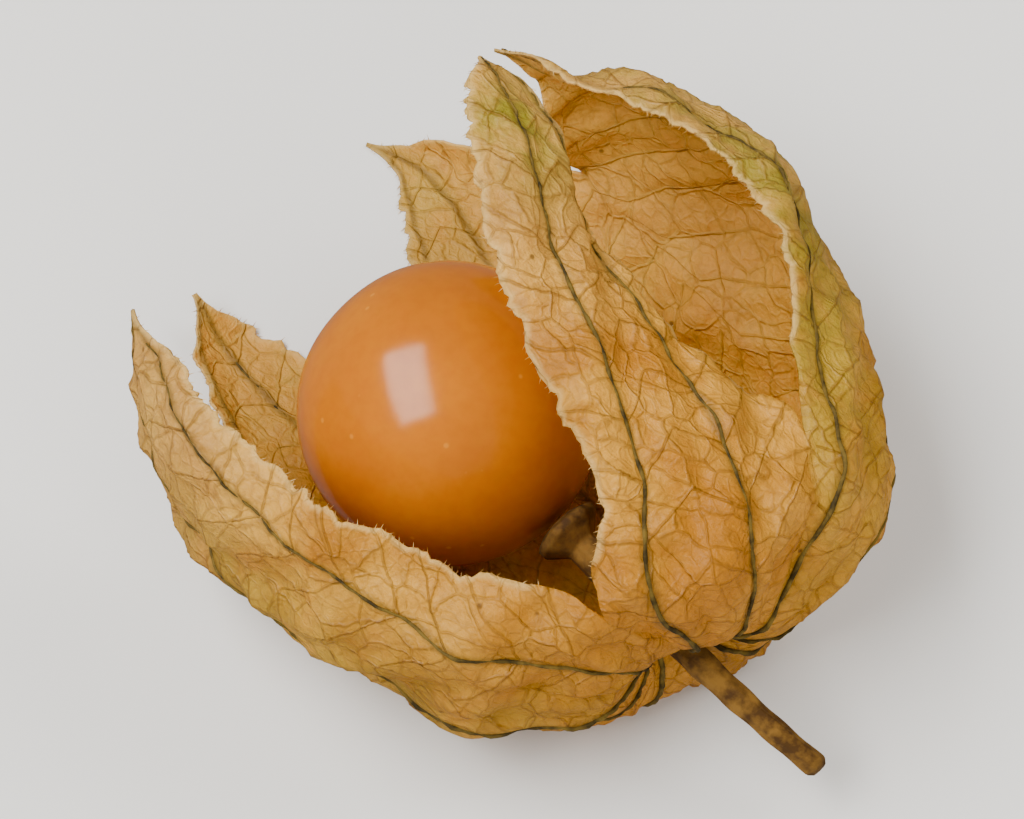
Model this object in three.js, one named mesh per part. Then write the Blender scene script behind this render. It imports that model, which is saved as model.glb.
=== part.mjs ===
import * as THREE from 'three';

// A physalis berry in its opened papery husk, lying on a surface.
// Millimetres, +Z up. Each piece is modelled along the fruit's own axis, which runs from
// the stem (z = 0) to the mouth of the husk, and is then laid down as one group.
// In that frame x is the side that faces up, y is the right side, z is the axis. The
// base of the husk is near z = 0.

const BERRY_DIAMETER = 18;
const BERRY_FROM_BASE = 22;
const BERRY_RINGS = 22;
const BERRY_SIDES = 40;
const SCAR_DEPTH = 0.35;
const SCAR_ANGLE = 0.09;

const FRUIT_RISE_DEG = 10;
const FRUIT_HEADING_DEG = 135;
const FLOOR_BELOW_BERRY = 11.3;

const WALL = 0.7;
const RIB_HEIGHT = 0.6;
const SIDE_RIB_HEIGHT = 0.45;
const NET_HEIGHT = 0.32;
const CRUMPLE = 0.3;
const COLUMNS = 14;
const ROWS = 32;
const PART_OVER = 0.16; // margins come fully apart over this share of the length
const CURL_IN = 1.6; // how sharply a lobe bends towards the margin it is joined to

const STEM_RADIUS = 1.0;
const STEM_LENGTH = 13;
const STEM_SIDES = 20;
const STEM_BENDS_FROM = 3;
const STEM_DROOP = 0.02;
const STEM_SWERVE = 0.012;
const HOLE_RADIUS = 1.75;
const HOLE_DEPTH = 5;
const GAP = 0.3;

const DEG = Math.PI / 180;

// Stations run from the hole at the base to the tip of the lobe.
const STATIONS = [0, 0.05, 0.1, 0.16, 0.24, 0.34, 0.46, 0.6, 0.76, 0.9, 1];

// The dimple round the stem, where the husk's base is level: distance along the axis, radius.
const DIMPLE = [
  [HOLE_DEPTH, HOLE_RADIUS],
  [2.4, 2.4],
  [0.8, 3.6],
  [0.1, 5.8],
];

// Each lobe: the middle and half width in degrees where it starts round the stem, how far
// its shoulder sits above the level base, where the splits beside it end, and where its main
// rib and its side rib run across it, near the base and near the tip, with the mesh column
// that follows each. Then the points that its middle line passes: along the axis, radius,
// direction round the axis, half width, and how far it is curled across, as a share of its
// start.
const LOBES = [
  {
    name: 'front', middle: 10, half: 30, shoulder: 0.2,
    splitLeft: 0.22, splitRight: 0.31, ragged: 0.12,
    rib: [-0.7, -0.1], ribColumn: 3, sideRib: [0.2, 0.75], sideColumn: 10,
    path: [
      [1.8, 10.2, 8, 5.3, 1],
      [7.0, 13.2, 14, 6.0, 1],
      [14.4, 13.9, 20, 5.3, 0.9],
      [22.0, 15.2, 26, 4.5, 0.8],
      [28.0, 16.8, 35, 3.8, 0.7],
      [32.0, 17.6, 41, 2.4, 0.5],
      [34.0, 17.3, 44, 0.5, 0.3],
    ],
  },
  {
    name: 'right', middle: 72, half: 32, shoulder: -1.0,
    splitLeft: 0.31, splitRight: 0.76, ragged: 0.12,
    rib: [-0.85, -0.7], ribColumn: 2, sideRib: [0.3, 0.1], sideColumn: 8,
    path: [
      [-0.2, 13.4, 73, 7.5, 1],
      [4.8, 18.2, 76, 8.8, 1.1],
      [12.2, 21.6, 79, 9.2, 1.3],
      [19.6, 23.8, 80, 9.0, 1.4],
      [26.8, 22.2, 79, 7.8, 1.4],
      [32.2, 18.8, 77, 4.6, 1.1],
      [35.8, 17.0, 77, 0.5, 0.4],
    ],
  },
  {
    name: 'under_right', middle: 137, half: 33, shoulder: 0.2,
    splitLeft: 0.76, splitRight: 0.5, ragged: 0.16,
    rib: [-0.42, 0], ribColumn: 5, sideRib: [0.6, 0.7], sideColumn: 11,
    path: [
      [2.0, 11.4, 137, 6.5, 1],
      [7.6, 14.4, 136, 7.8, 1],
      [14.4, 15.8, 135, 8.4, 0.85],
      [22.4, 17.2, 135, 8.0, 0.7],
      [30.8, 19.0, 134, 6.0, 0.5],
      [37.4, 21.0, 134, 2.8, 0.3],
      [41.0, 21.6, 139, 0.5, 0.2],
    ],
  },
  {
    name: 'under', middle: 205, half: 35, shoulder: 2.6,
    splitLeft: 0.5, splitRight: 0.53, ragged: 0.2,
    rib: [-0.29, 0], ribColumn: 6, sideRib: [0.7, 0.7], sideColumn: 12,
    path: [
      [4.6, 8.6, 205, 5.1, 1],
      [8.6, 10.6, 203, 6.0, 1],
      [15.2, 11.2, 200, 6.1, 0.85],
      [22.8, 11.4, 196, 6.2, 0.7],
      [30.8, 12.6, 192, 4.8, 0.5],
      [37.2, 13.2, 188, 2.4, 0.3],
      [40.4, 12.2, 186, 0.5, 0.2],
    ],
  },
  {
    name: 'left', middle: 288, half: 48, shoulder: 3.0,
    splitLeft: 0.53, splitRight: 0.22, ragged: 0.16,
    rib: [-0.46, -0.2], ribColumn: 4, sideRib: [0.42, 0.66], sideColumn: 11,
    path: [
      [5.0, 9.0, 282, 7.0, 1],
      [8.8, 12.6, 276, 8.8, 0.95],
      [15.2, 14.7, 271, 9.8, 0.9],
      [22.2, 15.8, 268, 9.6, 0.8],
      [29.8, 14.6, 271, 7.4, 0.75],
      [35.4, 12.0, 277, 3.6, 0.6],
      [38.4, 10.0, 281, 0.5, 0.3],
    ],
  },
];

const RISE = FRUIT_RISE_DEG * DEG;
const HEADING = FRUIT_HEADING_DEG * DEG;
const UP = new THREE.Vector3(Math.cos(RISE), 0, Math.sin(RISE));
const FLOOR = BERRY_FROM_BASE * UP.z - FLOOR_BELOW_BERRY;

function smooth(x) {
  const c = Math.min(1, Math.max(0, x));
  return c * c * (3 - 2 * c);
}

// A smooth curve through the stations' values.
function through(values, t) {
  const last = STATIONS.length - 1;
  let k = 0;
  while (k < last - 1 && t > STATIONS[k + 1]) k += 1;
  const slope = (i) => {
    const a = Math.max(0, i - 1);
    const b = Math.min(last, i + 1);
    return (values[b] - values[a]) / (STATIONS[b] - STATIONS[a]);
  };
  const step = STATIONS[k + 1] - STATIONS[k];
  const x = (t - STATIONS[k]) / step;
  const x2 = x * x;
  const x3 = x2 * x;
  return (2 * x3 - 3 * x2 + 1) * values[k]
    + (x3 - 2 * x2 + x) * step * slope(k)
    + (3 * x2 - 2 * x3) * values[k + 1]
    + (x3 - x2) * step * slope(k + 1);
}

// The columns of station values of one lobe, the dimple's four stations first.
function stationValues(lobe) {
  const steepness = 1 - lobe.shoulder / HOLE_DEPTH;
  const start = DIMPLE.map(([z, r]) => (
    [lobe.shoulder + z * steepness, r, lobe.middle, r * lobe.half * DEG, 1]));
  const rows = start.concat(lobe.path);
  return [0, 1, 2, 3, 4].map((column) => rows.map((row) => row[column]));
}

function middleLine(values, t) {
  const turn = through(values[2], t) * DEG;
  const radius = through(values[1], t);
  const along = through(values[0], t);
  return new THREE.Vector3(radius * Math.cos(turn), radius * Math.sin(turn), along);
}

// A point of the lobe by itself: an arc across the middle line.
function ribbonPoint(lobe, u, t) {
  const values = lobe.values;
  const turn = through(values[2], t) * DEG;
  const near = 0.004;
  const before = middleLine(values, Math.max(0, t - near));
  const after = middleLine(values, Math.min(1, t + near));
  const tangent = after.sub(before).normalize();
  const side = new THREE.Vector3(-Math.sin(turn), Math.cos(turn), 0);
  side.addScaledVector(tangent, -side.dot(tangent)).normalize();
  const outward = new THREE.Vector3().crossVectors(side, tangent);
  const flat = smooth((t - 0.1) / 0.15);
  outward.lerp(new THREE.Vector3(Math.cos(turn), Math.sin(turn), 0), 1 - flat).normalize();
  const bend = lobe.half * DEG * through(values[4], t);
  const width = through(values[3], t);
  const point = middleLine(values, t);
  point.addScaledVector(side, (width / bend) * Math.sin(bend * u));
  point.addScaledVector(outward, (-width / bend) * (1 - Math.cos(bend * u)));
  return point;
}

// How firmly a lobe's margin is still joined to its neighbour's.
function joined(split, t) {
  return 1 - smooth((t - split) / PART_OVER);
}

// Where the two ribs run across the lobe: they shift as the lobe rises from the base.
function ribPlaces(lobe, t) {
  const up = smooth((t - 0.2) / 0.45);
  const main = THREE.MathUtils.lerp(lobe.rib[0], lobe.rib[1], up);
  const side = THREE.MathUtils.lerp(lobe.sideRib[0], lobe.sideRib[1], up);
  return [main, side];
}

// How far a torn margin is eaten back, as a share of the half width.
function torn(lobe, side, split, t) {
  const seed = lobe.middle + side;
  const wave = Math.sin(t * 91 + seed) + 0.7 * Math.sin(t * 163 + seed * 3) + 1.7;
  const free = (1 - joined(split, t)) * smooth((1 - t) / 0.15);
  return (free * wave * lobe.ragged) / through(lobe.values[3], t);
}

// Where a mesh column lies across the lobe, so that one column runs along each rib.
function acrossAt(lobe, column, t) {
  const left = -1 + torn(lobe, -1, lobe.splitLeft, t);
  const right = 1 - torn(lobe, 1, lobe.splitRight, t);
  const places = [left, ...ribPlaces(lobe, t), right];
  const columns = [0, lobe.ribColumn, lobe.sideColumn, COLUMNS];
  let k = 0;
  while (column > columns[k + 1]) k += 1;
  const share = (column - columns[k]) / (columns[k + 1] - columns[k]);
  return THREE.MathUtils.lerp(places[k], places[k + 1], share);
}

// A point of the husk: its lobe's own, drawn to the neighbours below the splits.
function huskPoint(index, u, t) {
  const lobe = LOBES[index];
  const left = LOBES[(index + LOBES.length - 1) % LOBES.length];
  const right = LOBES[(index + 1) % LOBES.length];
  const point = ribbonPoint(lobe, u, t);
  const pull = (side, other, split) => {
    const own = ribbonPoint(lobe, side, t);
    const theirs = ribbonPoint(other, -side, t);
    const shift = theirs.sub(own).multiplyScalar(0.5);
    const reach = Math.max(0, side * u) ** CURL_IN;
    point.addScaledVector(shift, reach * joined(split, t));
  };
  pull(-1, left, lobe.splitLeft);
  pull(1, right, lobe.splitRight);
  return point;
}

// Soft crumples of the dry paper, the same wherever two lobes meet.
function crumple(p) {
  return Math.sin(p.x * 0.62 + p.z * 0.41 + 0.5)
    + Math.sin(p.y * 0.71 - p.z * 0.53 + 1.9)
    + 0.7 * Math.sin(p.x * 1.13 - p.y * 0.97 + p.z * 0.9);
}

// The last mesh row in which two lobes share their margin.
function splitRow(split) {
  return Math.round(split * ROWS);
}

// The middle surface of the husk, with the margins of neighbours shared below each split.
function huskSheet() {
  const points = [];
  const facts = [];
  const index = [];
  LOBES.forEach((lobe, i) => {
    const left = LOBES[(i + LOBES.length - 1) % LOBES.length];
    lobe.grid = [];
    for (let row = 0; row <= ROWS; row += 1) {
      const line = [];
      for (let column = 0; column <= COLUMNS; column += 1) {
        const shares = i > 0 && column === 0 && row <= splitRow(lobe.splitLeft);
        const closes = i === LOBES.length - 1 && column === COLUMNS
          && row <= splitRow(lobe.splitRight);
        if (shares) {
          line.push(left.grid[row][COLUMNS]);
        } else if (closes) {
          line.push(LOBES[0].grid[row][0]);
        } else {
          line.push(points.length);
          const t = row / ROWS;
          const u = acrossAt(lobe, column, t);
          points.push(huskPoint(i, u, t));
          facts.push({ lobe, u, t, row, column });
        }
      }
      lobe.grid.push(line);
    }
  });
  LOBES.forEach((lobe) => {
    for (let row = 0; row < ROWS; row += 1) {
      for (let column = 0; column < COLUMNS; column += 1) {
        const a = lobe.grid[row][column];
        const b = lobe.grid[row][column + 1];
        const c = lobe.grid[row + 1][column + 1];
        const d = lobe.grid[row + 1][column];
        const even = (row + column) % 2 === 0;
        index.push(...(even ? [a, b, c, a, c, d] : [a, b, d, b, c, d]));
      }
    }
  });
  return { points, facts, index };
}

function sheetNormals(points, index) {
  const geometry = new THREE.BufferGeometry();
  geometry.setAttribute('position', new THREE.Float32BufferAttribute(
    points.flatMap((p) => [p.x, p.y, p.z]), 3));
  geometry.setIndex(index);
  geometry.computeVertexNormals();
  const normal = geometry.attributes.normal;
  return points.map((p, i) => new THREE.Vector3().fromBufferAttribute(normal, i));
}

// Ribs stand up from the paper, and a coarse net of veins follows the lines of the mesh.
function relief({ lobe, t, row, column }) {
  const fade = smooth(t / 0.12) * smooth(through(lobe.values[3], t) / 3.5);
  if (column === lobe.ribColumn) return RIB_HEIGHT * fade;
  if (column === lobe.sideColumn) return SIDE_RIB_HEIGHT * fade;
  const vein = (row + Math.abs(column - lobe.ribColumn)) % 3 === 0;
  const link = (column + 2 * Math.floor(row / 3)) % 4 === 0;
  return vein || link ? NET_HEIGHT * fade : 0;
}

// Both faces of the sheet have the same triangles, and free borders get a rim.
function thicken(points, normals, extra, index) {
  const count = points.length;
  const positions = [];
  points.forEach((p, i) => {
    const outer = p.clone().addScaledVector(normals[i], WALL / 2 + extra[i]);
    positions.push(outer.x, outer.y, outer.z);
  });
  points.forEach((p, i) => {
    const inner = p.clone().addScaledVector(normals[i], -WALL / 2);
    positions.push(inner.x, inner.y, inner.z);
  });
  const faces = [];
  const edges = new Set();
  for (let k = 0; k < index.length; k += 3) {
    const [a, b, c] = index.slice(k, k + 3);
    faces.push(a, b, c, c + count, b + count, a + count);
    [[a, b], [b, c], [c, a]].forEach(([m, n]) => edges.add(`${m}_${n}`));
  }
  edges.forEach((edge) => {
    const [m, n] = edge.split('_').map(Number);
    if (!edges.has(`${n}_${m}`)) {
      faces.push(n, m, m + count, n, m + count, n + count);
    }
  });
  const geometry = new THREE.BufferGeometry();
  geometry.setAttribute('position', new THREE.Float32BufferAttribute(positions, 3));
  geometry.setIndex(faces);
  geometry.computeVertexNormals();
  return geometry;
}

// Where the husk lies on the surface the paper is pressed flat.
function pressFlat(p, above) {
  const lift = FLOOR + above - p.dot(UP);
  if (lift > 0) p.addScaledVector(UP, lift);
  return lift > 0;
}

function keepAboveFloor(geometry) {
  const position = geometry.attributes.position;
  const p = new THREE.Vector3();
  const half = position.count / 2;
  for (let i = 0; i < position.count; i += 1) {
    p.fromBufferAttribute(position, i);
    pressFlat(p, i < half ? 0 : WALL);
    position.setXYZ(i, p.x, p.y, p.z);
  }
}

function huskGeometry() {
  LOBES.forEach((lobe) => {
    lobe.values = stationValues(lobe);
  });
  const { points, facts, index } = huskSheet();
  const firstNormals = sheetNormals(points, index);
  const raised = points.map((p, i) => {
    const { lobe, t } = facts[i];
    const away = smooth((t - 0.1) / 0.2) * smooth(through(lobe.values[3], t) / 5);
    p.addScaledVector(firstNormals[i], crumple(p) * CRUMPLE * away);
    return pressFlat(p, WALL / 2) ? 0 : relief(facts[i]);
  });
  const geometry = thicken(points, sheetNormals(points, index), raised, index);
  keepAboveFloor(geometry);
  return geometry;
}

// A nearly round berry with a small sunken scar at the blossom end.
function berryGeometry() {
  const radius = BERRY_DIAMETER / 2;
  const profile = [];
  for (let k = 0; k <= BERRY_RINGS; k += 1) {
    const angle = (k / BERRY_RINGS) * Math.PI;
    const r = radius - SCAR_DEPTH * Math.exp(-(((Math.PI - angle) / SCAR_ANGLE) ** 2));
    const out = k === 0 || k === BERRY_RINGS ? 0 : r * Math.sin(angle);
    profile.push(new THREE.Vector2(out, -r * Math.cos(angle)));
  }
  const geometry = new THREE.LatheGeometry(profile, BERRY_SIDES);
  geometry.rotateX(Math.PI / 2);
  geometry.translate(0, 0, BERRY_FROM_BASE);
  return geometry;
}

// The stalk comes in through the hole and widens to the receptacle under the berry.
// Outside the husk it bends a little, back from the base.
function stemGeometry() {
  const top = BERRY_FROM_BASE - BERRY_DIAMETER / 2 - GAP;
  const rings = [
    [-STEM_LENGTH + HOLE_DEPTH, 0.78],
    [-4, 0.85],
    [0, 0.9],
    [3, STEM_RADIUS],
    [HOLE_DEPTH + 0.4, STEM_RADIUS],
    [HOLE_DEPTH + 0.9, 2.2],
    [HOLE_DEPTH + 1.5, 2.0],
    [top - 1.6, 1.3],
    [top - 0.9, 2.2],
    [top - 0.4, 2.3],
    [top, 1.4],
  ];
  const profile = [new THREE.Vector2(0, rings[0][0])];
  rings.forEach(([z, r]) => profile.push(new THREE.Vector2(r, z)));
  profile.push(new THREE.Vector2(0, top));
  const geometry = new THREE.LatheGeometry(profile, STEM_SIDES);
  geometry.rotateX(Math.PI / 2);
  const position = geometry.attributes.position;
  for (let i = 0; i < position.count; i += 1) {
    const back = Math.max(0, STEM_BENDS_FROM - position.getZ(i));
    position.setX(i, position.getX(i) - STEM_DROOP * back ** 2);
    position.setY(i, position.getY(i) + STEM_SWERVE * back ** 2);
  }
  return geometry;
}

function piece(name, geometry, color, roughness) {
  const material = new THREE.MeshStandardMaterial({ color, roughness, metalness: 0 });
  const mesh = new THREE.Mesh(geometry, material);
  mesh.name = name;
  return mesh;
}

// Turns the fruit from its own axis to how it lies, and sets it on the origin.
function layDown(fruit) {
  const axis = new THREE.Vector3(
    Math.cos(RISE) * Math.cos(HEADING), Math.cos(RISE) * Math.sin(HEADING), Math.sin(RISE));
  const right = new THREE.Vector3(Math.sin(HEADING), -Math.cos(HEADING), 0);
  const up = new THREE.Vector3().crossVectors(right, axis);
  fruit.setRotationFromMatrix(new THREE.Matrix4().makeBasis(up, right, axis));
  const box = new THREE.Box3().setFromObject(fruit, true);
  const centre = box.getCenter(new THREE.Vector3());
  fruit.position.set(-centre.x, -centre.y, -box.min.z);
}

const fruit = new THREE.Group();
fruit.add(piece('berry', berryGeometry(), 0xe27c0c, 0.3));
fruit.add(piece('husk', huskGeometry(), 0xc9984a, 0.7));
fruit.add(piece('stem', stemGeometry(), 0x8a7a3c, 0.8));
layDown(fruit);

const group = new THREE.Group();
group.add(fruit);

export default group;
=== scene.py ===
# %% [markdown]
# # A physalis berry in its opened husk
# The fruit is a smooth round berry that sits on the end of its stalk, inside a lantern of
# dry paper. The lantern has split into five pointed lobes that lie open round the berry.
# The solid model gives every piece its place and size, and this lesson gives each one the
# surface that the eye expects: veined paper, waxy skin and a dry, grooved stalk.

# %% Load the solid model
import math

import bmesh
import bpy
import numpy as np
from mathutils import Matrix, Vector


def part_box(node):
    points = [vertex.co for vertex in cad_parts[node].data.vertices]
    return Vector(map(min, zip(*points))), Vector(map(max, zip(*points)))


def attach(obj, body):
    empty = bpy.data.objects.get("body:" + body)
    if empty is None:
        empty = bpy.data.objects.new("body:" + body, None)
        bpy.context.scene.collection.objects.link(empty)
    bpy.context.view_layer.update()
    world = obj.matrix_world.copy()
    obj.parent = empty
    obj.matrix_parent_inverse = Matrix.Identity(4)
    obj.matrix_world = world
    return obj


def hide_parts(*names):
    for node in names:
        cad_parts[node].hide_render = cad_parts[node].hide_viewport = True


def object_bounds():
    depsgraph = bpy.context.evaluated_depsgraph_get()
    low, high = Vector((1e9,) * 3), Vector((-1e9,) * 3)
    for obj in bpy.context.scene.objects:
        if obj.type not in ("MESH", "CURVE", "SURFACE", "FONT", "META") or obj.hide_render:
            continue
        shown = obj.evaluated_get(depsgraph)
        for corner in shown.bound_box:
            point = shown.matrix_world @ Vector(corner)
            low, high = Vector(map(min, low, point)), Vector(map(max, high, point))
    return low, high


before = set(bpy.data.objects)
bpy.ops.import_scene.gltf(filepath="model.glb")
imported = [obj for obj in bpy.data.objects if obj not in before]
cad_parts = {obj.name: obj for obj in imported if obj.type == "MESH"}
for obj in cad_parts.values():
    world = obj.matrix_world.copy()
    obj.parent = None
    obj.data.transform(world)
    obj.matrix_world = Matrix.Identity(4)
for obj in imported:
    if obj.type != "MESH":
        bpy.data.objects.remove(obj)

solid_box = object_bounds()
MM = 0.001
DEG = math.pi / 180
print("solid model, mm:", [round((b - a) / MM, 1) for a, b in zip(*solid_box)])

# %% [markdown]
# ## The fruit's own axis
# A fruit is easiest to describe along its own axis, from the stalk to the mouth of the
# husk, and only then laid down. So every shape below is made in millimetres with z along
# that axis, x on the side that faces up and y on the right side, and one function moves
# it to where the fruit lies. The berry's middle in the solid model fixes the place.

# %% The fruit's axis and its place
BERRY_FROM_BASE = 22.0
FRUIT_RISE = 10 * DEG
FRUIT_HEADING = 135 * DEG

axis = np.array([math.cos(FRUIT_RISE) * math.cos(FRUIT_HEADING),
                 math.cos(FRUIT_RISE) * math.sin(FRUIT_HEADING), math.sin(FRUIT_RISE)])
right_side = np.array([math.sin(FRUIT_HEADING), -math.cos(FRUIT_HEADING), 0.0])
up_side = np.cross(right_side, axis)
TURN = np.stack([up_side, right_side, axis])
berry_low, berry_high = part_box("berry")
berry_middle = np.array((berry_low + berry_high) / 2)
BASE = berry_middle - axis * BERRY_FROM_BASE * MM


def lay_down(points):
    """Points in millimetres along the fruit's axis, moved to where the fruit lies, in metres."""
    return np.asarray(points) @ TURN * MM + BASE


print("berry's middle, mm:", (berry_middle / MM).round(2))

# %% [markdown]
# ## The husk's form
# The husk is a calyx of five lobes that grew as one. Each lobe is described by the line
# down its middle, its width along that line and how far it is curled across. Below the
# splits the margins of neighbours meet, so the lobes are drawn together there. These are
# the same stations that the solid model is made from, so the fine sheet keeps its form.

# %% The lobes, from the hole round the stalk to the tip
STATIONS = np.array([0, 0.05, 0.1, 0.16, 0.24, 0.34, 0.46, 0.6, 0.76, 0.9, 1])
HOLE_DEPTH = 5.0
DIMPLE = [(HOLE_DEPTH, 1.75), (2.4, 2.4), (0.8, 3.6), (0.1, 5.8)]
PART_OVER = 0.16
CURL_IN = 1.6
SOLID_WALL = 0.7
FLOOR_BELOW_BERRY = 11.3

# Each path point: along the axis, radius, direction round the axis, half width, curl.
LOBES = [
    dict(name="front", middle=10, half=30, shoulder=0.2, split_left=0.22, split_right=0.31,
         ragged=0.12, rib=(-0.7, -0.1), side_rib=(0.2, 0.75),
         path=[(1.8, 10.2, 8, 5.3, 1), (7.0, 13.2, 14, 6.0, 1), (14.4, 13.9, 20, 5.3, 0.9),
               (22.0, 15.2, 26, 4.5, 0.8), (28.0, 16.8, 35, 3.8, 0.7),
               (32.0, 17.6, 41, 2.4, 0.5), (34.0, 17.3, 44, 0.5, 0.3)]),
    dict(name="right", middle=72, half=32, shoulder=-1.0, split_left=0.31, split_right=0.76,
         ragged=0.12, rib=(-0.85, -0.7), side_rib=(0.3, 0.1),
         path=[(-0.2, 13.4, 73, 7.5, 1), (4.8, 18.2, 76, 8.8, 1.1), (12.2, 21.6, 79, 9.2, 1.3),
               (19.6, 23.8, 80, 9.0, 1.4), (26.8, 22.2, 79, 7.8, 1.4),
               (32.2, 18.8, 77, 4.6, 1.1), (35.8, 17.0, 77, 0.5, 0.4)]),
    dict(name="under_right", middle=137, half=33, shoulder=0.2, split_left=0.76, split_right=0.5,
         ragged=0.16, rib=(-0.42, 0), side_rib=(0.6, 0.7),
         path=[(2.0, 11.4, 137, 6.5, 1), (7.6, 14.4, 136, 7.8, 1), (14.4, 15.8, 135, 8.4, 0.85),
               (22.4, 17.2, 135, 8.0, 0.7), (30.8, 19.0, 134, 6.0, 0.5),
               (37.4, 21.0, 134, 2.8, 0.3), (41.0, 21.6, 139, 0.5, 0.2)]),
    dict(name="under", middle=205, half=35, shoulder=2.6, split_left=0.5, split_right=0.53,
         ragged=0.2, rib=(-0.29, 0), side_rib=(0.7, 0.7),
         path=[(4.6, 8.6, 205, 5.1, 1), (8.6, 10.6, 203, 6.0, 1), (15.2, 11.2, 200, 6.1, 0.85),
               (22.8, 11.4, 196, 6.2, 0.7), (30.8, 12.6, 192, 4.8, 0.5),
               (37.2, 13.2, 188, 2.4, 0.3), (40.4, 12.2, 186, 0.5, 0.2)]),
    dict(name="left", middle=288, half=48, shoulder=3.0, split_left=0.53, split_right=0.22,
         ragged=0.16, rib=(-0.46, -0.2), side_rib=(0.42, 0.66),
         path=[(5.0, 9.0, 282, 7.0, 1), (8.8, 12.6, 276, 8.8, 0.95), (15.2, 14.7, 271, 9.8, 0.9),
               (22.2, 15.8, 268, 9.6, 0.8), (29.8, 14.6, 271, 7.4, 0.75),
               (35.4, 12.0, 277, 3.6, 0.6), (38.4, 10.0, 281, 0.5, 0.3)]),
]


def smooth(x):
    c = np.clip(x, 0, 1)
    return c * c * (3 - 2 * c)


def through(values, t):
    """A smooth curve through the values at the stations."""
    values = np.asarray(values, float)
    t = np.asarray(t, float)
    last = len(STATIONS) - 1
    k = np.clip(np.searchsorted(STATIONS, t, side="left") - 1, 0, last - 1)
    before = np.maximum(np.arange(last + 1) - 1, 0)
    after = np.minimum(np.arange(last + 1) + 1, last)
    slope = (values[after] - values[before]) / (STATIONS[after] - STATIONS[before])
    step = STATIONS[k + 1] - STATIONS[k]
    x = (t - STATIONS[k]) / step
    return ((2 * x**3 - 3 * x**2 + 1) * values[k] + (x**3 - 2 * x**2 + x) * step * slope[k]
            + (3 * x**2 - 2 * x**3) * values[k + 1] + (x**3 - x**2) * step * slope[k + 1])


for lobe in LOBES:
    steepness = 1 - lobe["shoulder"] / HOLE_DEPTH
    start = [(lobe["shoulder"] + z * steepness, r, lobe["middle"], r * lobe["half"] * DEG, 1)
             for z, r in DIMPLE]
    lobe["values"] = np.array(start + lobe["path"]).T
print("lobes:", ", ".join(lobe["name"] for lobe in LOBES))

# %% [markdown]
# A point on a lobe is found in two steps: first on the lobe's middle line, then out along
# an arc across it. Where the margins are still joined, each side is drawn half way to its
# neighbour. Torn margins are eaten back by a few waves of different length.

# %% Points on the husk
def normalised(v):
    return v / np.linalg.norm(v, axis=-1, keepdims=True)


def middle_line(lobe, t):
    z, r, turn = (through(lobe["values"][k], t) for k in range(3))
    return np.stack([r * np.cos(turn * DEG), r * np.sin(turn * DEG), z], -1)


def ribbon_point(lobe, u, t):
    """A point of the lobe by itself, u from margin to margin, t from base to tip."""
    u, t = np.broadcast_arrays(np.asarray(u, float), np.asarray(t, float))
    near = 0.004
    ahead = middle_line(lobe, np.minimum(1, t + near))
    behind = middle_line(lobe, np.maximum(0, t - near))
    tangent = normalised(ahead - behind)
    turn = through(lobe["values"][2], t) * DEG
    nothing = np.zeros_like(turn)
    side = np.stack([-np.sin(turn), np.cos(turn), nothing], -1)
    side = normalised(side - (side * tangent).sum(-1, keepdims=True) * tangent)
    radial = np.stack([np.cos(turn), np.sin(turn), nothing], -1)
    flat = smooth((t - 0.1) / 0.15)[..., None]
    outward = normalised(np.cross(side, tangent) * flat + radial * (1 - flat))
    bend = (lobe["half"] * DEG * through(lobe["values"][4], t))[..., None]
    width = through(lobe["values"][3], t)[..., None]
    angle = bend * u[..., None]
    return (middle_line(lobe, t) + side * width / bend * np.sin(angle)
            - outward * width / bend * (1 - np.cos(angle)))


def joined(split, t):
    return 1 - smooth((t - split) / PART_OVER)


def husk_point(index, u, t):
    lobe = LOBES[index]
    point = ribbon_point(lobe, u, t)
    for side, other, split in ((-1, LOBES[index - 1], lobe["split_left"]),
                               (1, LOBES[(index + 1) % len(LOBES)], lobe["split_right"])):
        shift = (ribbon_point(other, -side, t) - ribbon_point(lobe, side, t)) / 2
        reach = np.maximum(0, side * np.asarray(u)) ** CURL_IN * joined(split, t)
        point = point + shift * reach[..., None]
    return point


POINT_FROM = 0.9
POINT_WIDTH = 0.25


def pointed(t):
    """The last few millimetres of a lobe, ribs and all, draw in to a point."""
    return 1 - (1 - POINT_WIDTH) * smooth((t - POINT_FROM) / (1 - POINT_FROM))


def rib_places(lobe, t):
    up = smooth((t - 0.2) / 0.45)
    return [(lobe[key][0] * (1 - up) + lobe[key][1] * up) * pointed(t) for key in ("rib", "side_rib")]


WAVES = (91, 163)
WAVE_DEPTH = (1.0, 0.7)
JAG_DEPTH = 0.32
JAGS = 210


def torn(lobe, side, split, t):
    """How far a torn margin is eaten back, as a share of the half width."""
    seed = lobe["middle"] + side
    wave = (WAVE_DEPTH[0] * (1 + np.sin(t * WAVES[0] + seed))
            + WAVE_DEPTH[1] * (1 + np.sin(t * WAVES[1] + seed * 3)))
    jags = np.random.default_rng(seed).random(JAGS) ** 2 * JAG_DEPTH
    free = (1 - joined(split, t)) * smooth((1 - t) / 0.15)
    eaten = wave * lobe["ragged"] + np.interp(t, np.linspace(0, 1, JAGS), jags)
    return free * eaten / through(lobe["values"][3], t)


def margin(lobe, side, t):
    """Where a margin runs across the lobe."""
    split = lobe["split_left"] if side < 0 else lobe["split_right"]
    return side * (1 - torn(lobe, side, split, t)) * pointed(t)


def crumple(p):
    """Soft crumples of the dry paper, the same wherever two lobes meet."""
    x, y, z = np.moveaxis(p, -1, 0)
    return (np.sin(x * 0.62 + z * 0.41 + 0.5) + np.sin(y * 0.71 - z * 0.53 + 1.9)
            + 0.7 * np.sin(x * 1.13 - y * 0.97 + z * 0.9))


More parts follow.
